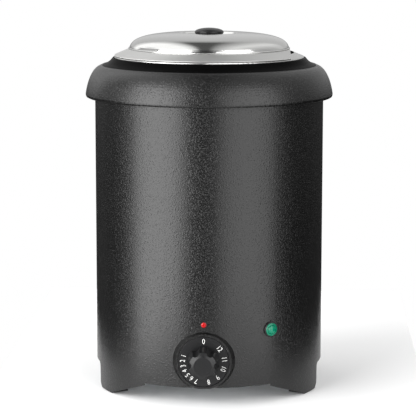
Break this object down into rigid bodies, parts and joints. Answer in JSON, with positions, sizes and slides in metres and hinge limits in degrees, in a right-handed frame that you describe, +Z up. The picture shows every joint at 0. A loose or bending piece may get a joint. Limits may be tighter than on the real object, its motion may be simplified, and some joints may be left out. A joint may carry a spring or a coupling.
{
  "type": "soup kettle",
  "caption": "Free-standing electric soup kettle with a round black body, lift-out steel pot, notched steel lid and a front thermostat knob.",
  "frame": {"origin": "centre of the kettle's axis on the table, under its feet", "axes": "+Z up along the body's axis; -Y towards the user, out of the control knob; +X to the user's right"},
  "size_m": [0.2706, 0.299, 0.3933],
  "materials": {
    "black_body": "fine-textured black powder coat, satin",
    "black_gloss": "gloss black",
    "steel_sheet": "spun stainless steel, satin",
    "steel_polished": "polished stainless steel",
    "galvanised": "bright galvanised sheet",
    "steel_fastener": "zinc-plated steel",
    "mineral_wool": "ceramic fibre blanket",
    "rubber_black": "moulded rubber",
    "element_sheath": "heat-tinted sheath",
    "aluminium_plate": "rolled aluminium",
    "dark_plastic": "moulded, matt",
    "knob_plastic": "moulded phenolic, satin",
    "white_plastic": "moulded nylon",
    "ceramic_white": "unglazed steatite",
    "brass": "bright brass",
    "copper": "drawn copper, dull",
    "red_plastic": "clear red moulding",
    "green_lens": "ribbed green lens",
    "wire_brown": "silicone sleeve",
    "wire_black": "silicone sleeve",
    "wire_blue": "silicone sleeve",
    "wire_green": "silicone sleeve"
  },
  "bodies": {
    "root": {"body_shell": "black_body", "collar": "black_body", "seat_ring": "black_gloss", "water_well": "steel_sheet", "insulation": "mineral_wool", "base_plate": "galvanised", "base_screws": "steel_fastener", "foot_brackets": "galvanised", "foot_pads": "rubber_black", "tie_rods": "galvanised", "tie_rod_nuts": "steel_fastener", "heating_element": "element_sheath", "heat_spreader": "aluminium_plate", "clamp_plate": "galvanised", "clamp_stud": "steel_fastener", "clamp_nut": "steel_fastener", "thermal_cutout": "dark_plastic", "cutout_bracket": "galvanised", "thermostat_case": "ceramic_white", "thermostat_cover": "dark_plastic", "thermostat_terminals": "brass", "thermostat_screws": "steel_fastener", "sensor_bulb": "copper", "bulb_clips": "galvanised", "capillary_tube": "copper", "index_stud": "red_plastic", "pilot_bezel": "knob_plastic", "pilot_lens": "green_lens", "pilot_lamp_tube": "white_plastic", "pilot_lamp_nut": "white_plastic", "terminal_block": "white_plastic", "terminal_screws": "brass", "earth_stud": "brass", "earth_nut": "steel_fastener", "cable_gland": "dark_plastic", "gland_cap": "dark_plastic", "gland_lock_nut": "dark_plastic", "live_wire": "wire_brown", "heater_wire": "wire_black", "neutral_wire": "wire_blue", "earth_wire": "wire_green"},
    "pot": {"inner_pot": "steel_sheet"},
    "lid": {"lid": "steel_polished", "lid_knob": "knob_plastic", "lid_knob_screw": "steel_fastener"},
    "knob": {"control_knob": "knob_plastic", "knob_spring": "steel_fastener", "thermostat_shaft": "steel_fastener"}
  },
  "joints": [
    {"name": "pot_lift", "type": "slide", "parent": "root", "child": "pot", "axis": [0, 0, 1], "range_m": [0, 0.24]},
    {"name": "lid_lift", "type": "slide", "parent": "pot", "child": "lid", "axis": [0, 0, 1], "range_m": [0, 0.32]},
    {"name": "knob_turn", "type": "hinge", "parent": "root", "child": "knob", "pos_m": [0, -0.128, 0.05], "axis": [0, 1, 0], "range_deg": [0, 310]}
  ]
}
